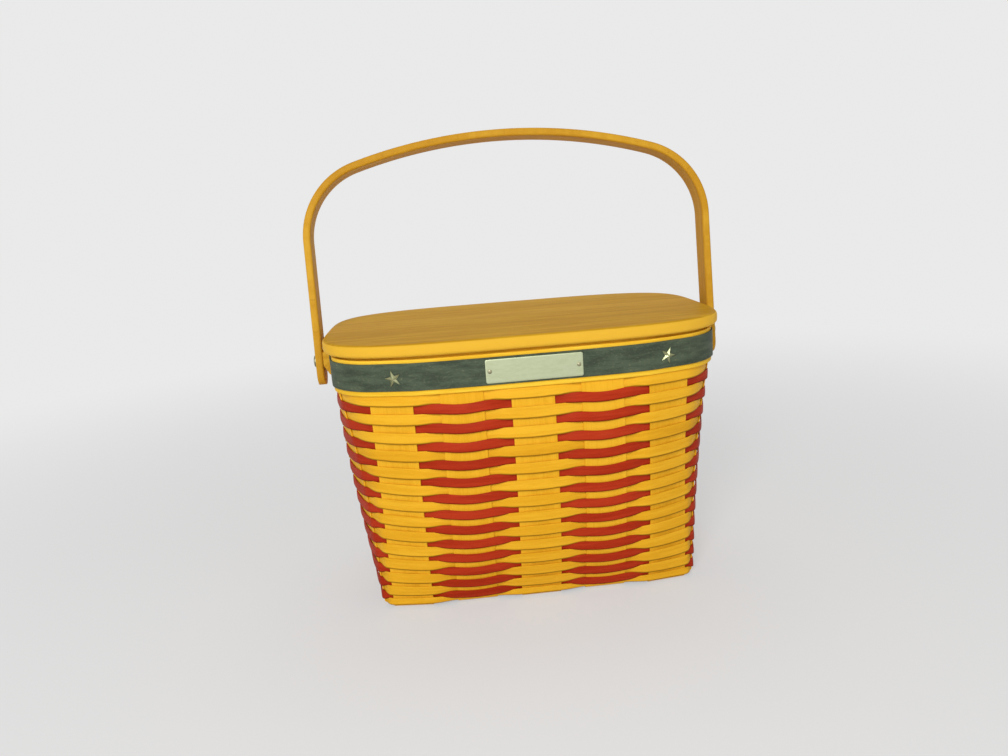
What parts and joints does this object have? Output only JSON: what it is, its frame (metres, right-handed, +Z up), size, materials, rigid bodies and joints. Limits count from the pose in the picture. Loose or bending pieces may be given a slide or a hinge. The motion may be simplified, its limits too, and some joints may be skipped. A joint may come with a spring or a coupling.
{
  "type": "woven splint basket",
  "caption": "Rectangular woven splint basket with a lift-off wooden lid, a painted rim strip, a blank tag plate and a swinging bentwood handle.",
  "frame": {"origin": "under the middle of the base, on the plane that the basket stands on", "axes": "+Z up, +X along the basket's length, front with the tag plate towards -Y"},
  "size_m": [0.3936, 0.2408, 0.429],
  "materials": {
    "natural_splint": "satin honey stain",
    "red_splint": "satin red stain",
    "rim_paint": "worn matt grey-green paint",
    "rim_wood": "satin honey stain",
    "lid_wood": "satin honey stain",
    "handle_wood": "satin honey stain",
    "tag_metal": "dull plain plate",
    "star_metal": "pale worn brass",
    "fastener_metal": "dull plated steel"
  },
  "bodies": {
    "basket": {"weaver_01_natural": "natural_splint", "weaver_02_red": "red_splint", "weaver_03_natural": "natural_splint", "weaver_04_red": "red_splint", "weaver_05_natural": "natural_splint", "weaver_06_red": "red_splint", "weaver_07_natural": "natural_splint", "weaver_08_red": "red_splint", "weaver_09_natural": "natural_splint", "weaver_10_red": "red_splint", "weaver_11_natural": "natural_splint", "weaver_12_red": "red_splint", "weaver_13_natural": "natural_splint", "weaver_14_red": "red_splint", "weaver_15_natural": "natural_splint", "weaver_16_red": "red_splint", "weaver_17_natural": "natural_splint", "weaver_18_red": "red_splint", "weaver_19_natural": "natural_splint", "weaver_20_red": "red_splint", "weaver_21_natural": "natural_splint", "weaver_22_red": "red_splint", "weaver_23_natural": "natural_splint", "weaver_24_red": "red_splint", "weaver_25_natural": "natural_splint", "weaver_26_red": "red_splint", "weaver_27_natural": "natural_splint", "cross_splint_1": "natural_splint", "cross_splint_2": "natural_splint", "cross_splint_3": "natural_splint", "cross_splint_4": "natural_splint", "cross_splint_5": "natural_splint", "long_splint_1": "natural_splint", "long_splint_2": "natural_splint", "long_splint_3": "natural_splint", "outer_rim_band": "rim_wood", "painted_rim_strip": "rim_paint", "inner_rim_band": "rim_wood", "tag_plate": "tag_metal", "tag_nail_left": "fastener_metal", "tag_nail_right": "fastener_metal", "star_tack_left": "star_metal", "star_tack_right": "star_metal", "rim_tack_back_left": "fastener_metal", "rim_tack_back_right": "fastener_metal", "handle_ear_left": "handle_wood", "handle_ear_right": "handle_wood", "handle_rivet_left": "fastener_metal", "handle_rivet_right": "fastener_metal", "rivet_washer_left": "fastener_metal", "rivet_washer_right": "fastener_metal", "rivet_burr_left": "fastener_metal", "rivet_burr_right": "fastener_metal"},
    "lid": {"lid_board": "lid_wood", "lid_cleat_left": "lid_wood", "lid_cleat_right": "lid_wood"},
    "handle": {"bentwood_handle": "handle_wood"}
  },
  "joints": [
    {"name": "lid_lift", "type": "slide", "parent": "basket", "child": "lid", "axis": [0, 0, 1], "range_m": [0, 0.08]},
    {"name": "handle_swing", "type": "hinge", "parent": "basket", "child": "handle", "pos_m": [0, 0, 0.2254], "axis": [1, 0, 0], "range_deg": [-137.4, 150.8]}
  ]
}
